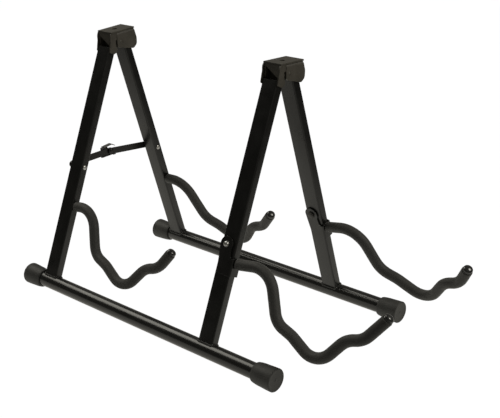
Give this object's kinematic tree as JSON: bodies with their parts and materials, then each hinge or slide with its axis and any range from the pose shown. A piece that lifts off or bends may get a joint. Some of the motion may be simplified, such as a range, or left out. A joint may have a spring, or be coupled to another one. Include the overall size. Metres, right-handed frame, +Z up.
{
  "type": "double guitar rack",
  "caption": "Folding A-frame rack that holds guitars on foam-covered wavy cradle arms; the frames fold flat and the front arms swing up.",
  "frame": {"origin": "on the floor, under the middle of the whole rack with its arms down", "axes": "+X the way the cradle arms point, +Y from the left base tube to the right one as seen by someone facing the arms, +Z up"},
  "size_m": [0.7513, 0.369, 0.4623],
  "materials": {
    "base_tube": "gloss",
    "leg": "satin",
    "hinge": "satin",
    "bracket": "satin",
    "brace": "satin",
    "core_rod": "satin",
    "foam": "matte foam",
    "foot_cap": "matte",
    "end_plug": "gloss",
    "zinc": "bright zinc plate",
    "clip": "dull zinc plate"
  },
  "bodies": {
    "right_half": {"right_base_tube": "base_tube", "right_rear_foot_cap": "foot_cap", "right_front_foot_cap": "foot_cap", "rear_right_leg": "leg", "front_right_leg": "leg", "rear_hinge_bracket": "hinge", "front_hinge_bracket": "hinge", "rear_hinge_pin": "hinge", "front_hinge_pin": "hinge", "rear_right_arm_rod": "core_rod", "rear_right_arm_foam": "foam", "rear_right_arm_end_plug": "end_plug", "front_right_arm_pivot_bolt": "zinc", "front_right_arm_pivot_nut": "bracket", "right_brace_leg_rivet": "zinc"},
    "left_half": {"left_base_tube": "base_tube", "left_rear_foot_cap": "foot_cap", "left_front_foot_cap": "foot_cap", "rear_left_leg": "leg", "front_left_leg": "leg", "rear_hinge_knuckle": "hinge", "front_hinge_knuckle": "hinge", "rear_left_arm_rod": "core_rod", "rear_left_arm_foam": "foam", "rear_left_arm_end_plug": "end_plug", "front_left_arm_pivot_bolt": "zinc", "front_left_arm_pivot_nut": "bracket", "left_brace_leg_rivet": "zinc", "brace_spacer": "zinc"},
    "front_left_cradle": {"front_left_arm_bracket": "bracket", "front_left_arm_rod": "core_rod", "front_left_arm_foam": "foam", "front_left_arm_end_plug": "end_plug"},
    "front_right_cradle": {"front_right_arm_bracket": "bracket", "front_right_arm_rod": "core_rod", "front_right_arm_foam": "foam", "front_right_arm_end_plug": "end_plug"},
    "left_brace": {"left_brace_bar": "brace", "brace_lock_clip": "clip", "brace_centre_rivet_tail": "brace"},
    "right_brace": {"right_brace_bar": "brace", "brace_centre_rivet_head": "brace"}
  },
  "joints": [
    {"name": "rack_fold", "type": "hinge", "parent": "right_half", "child": "left_half", "pos_m": [-0.0813, 0, 0.439], "axis": [1, 0, 0], "range_deg": [0, 38]},
    {"name": "front_left_arm_fold", "type": "hinge", "parent": "left_half", "child": "front_left_cradle", "pos_m": [0.06695, -0.10732, 0.18086], "axis": [0, -0.9411, 0.3382], "range_deg": [0, 80]},
    {"name": "front_right_arm_fold", "type": "hinge", "parent": "right_half", "child": "front_right_cradle", "pos_m": [0.06695, 0.10732, 0.18086], "axis": [0, -0.9411, -0.3382], "range_deg": [0, 80]},
    {"name": "left_brace_fold", "type": "hinge", "parent": "left_half", "child": "left_brace", "pos_m": [-0.33455, -0.0921, 0.22321], "axis": [1, 0, 0], "range_deg": [-101.92, 0]},
    {"name": "right_brace_fold", "type": "hinge", "parent": "right_half", "child": "right_brace", "pos_m": [-0.33185, 0.0921, 0.22321], "axis": [1, 0, 0], "range_deg": [0, 101.92]}
  ],
  "couplings": [
    {"joint": "left_brace_fold", "follows": "rack_fold", "ratio": -2.6818},
    {"joint": "right_brace_fold", "follows": "rack_fold", "ratio": 2.6818}
  ]
}
